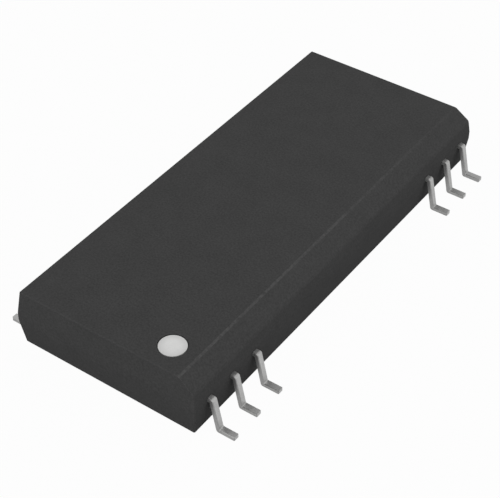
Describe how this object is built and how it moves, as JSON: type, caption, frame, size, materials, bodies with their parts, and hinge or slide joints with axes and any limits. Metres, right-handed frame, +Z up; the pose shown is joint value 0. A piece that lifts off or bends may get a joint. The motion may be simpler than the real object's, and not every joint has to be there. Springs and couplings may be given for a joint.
{
  "type": "dc-dc converter",
  "caption": "Moulded surface-mount dc-dc converter: low black body with one chamfered long edge, a pale pin-one dot, and gull-wing leads near both ends of each long side.",
  "frame": {"origin": "middle of the package on the plane of the circuit board, level with the soles of the feet", "axes": "+Z up from the board, +Y along the body away from pin 1, +X towards the side that carries pin 1"},
  "size_m": [0.0098, 0.0182, 0.0025],
  "materials": {
    "moulding_compound": "black filled epoxy moulding compound with a fine matt grain",
    "mark_ink": "thin film of pale grey marking ink",
    "plated_lead_frame": "stamped copper alloy with matt tin plating on the outer leads",
    "silicon": "polished silicon",
    "die_attach_paste": "silver-filled epoxy",
    "gold_bond_wire": "drawn gold wire",
    "enamelled_wire": "copper wire with clear amber enamel",
    "ferrite": "sintered and tumbled ferrite",
    "core_glue": "cured epoxy",
    "polyimide_tape": "amber polyimide film"
  },
  "bodies": {
    "root": {"control_die": "silicon", "control_die_attach": "die_attach_paste", "enable_bond_wire": "gold_bond_wire", "enable_lead": "plated_lead_frame", "far_core_glue": "core_glue", "far_left_pad": "plated_lead_frame", "far_left_tape": "polyimide_tape", "far_right_pad": "plated_lead_frame", "far_right_tape": "polyimide_tape", "input_ground_frame": "plated_lead_frame", "input_supply_frame": "plated_lead_frame", "left_anode_bond_wire": "gold_bond_wire", "left_diode": "silicon", "left_diode_attach": "die_attach_paste", "left_drive_bond_wire": "gold_bond_wire", "left_ground_bond_wire": "gold_bond_wire", "left_secondary_winding": "enamelled_wire", "left_supply_bond_wire": "gold_bond_wire", "moulded_body": "moulding_compound", "near_core_glue": "core_glue", "near_left_pad": "plated_lead_frame", "near_left_tape": "polyimide_tape", "near_right_pad": "plated_lead_frame", "near_right_tape": "polyimide_tape", "output_common_frame": "plated_lead_frame", "output_positive_frame": "plated_lead_frame", "pin_one_mark": "mark_ink", "primary_winding": "enamelled_wire", "right_anode_bond_wire": "gold_bond_wire", "right_diode": "silicon", "right_diode_attach": "die_attach_paste", "right_drive_bond_wire": "gold_bond_wire", "right_ground_bond_wire": "gold_bond_wire", "right_secondary_winding": "enamelled_wire", "right_supply_bond_wire": "gold_bond_wire", "spare_lead_14": "plated_lead_frame", "spare_lead_15": "plated_lead_frame", "sync_bond_wire": "gold_bond_wire", "sync_lead": "plated_lead_frame", "transformer_core": "ferrite"}
  },
  "joints": []
}
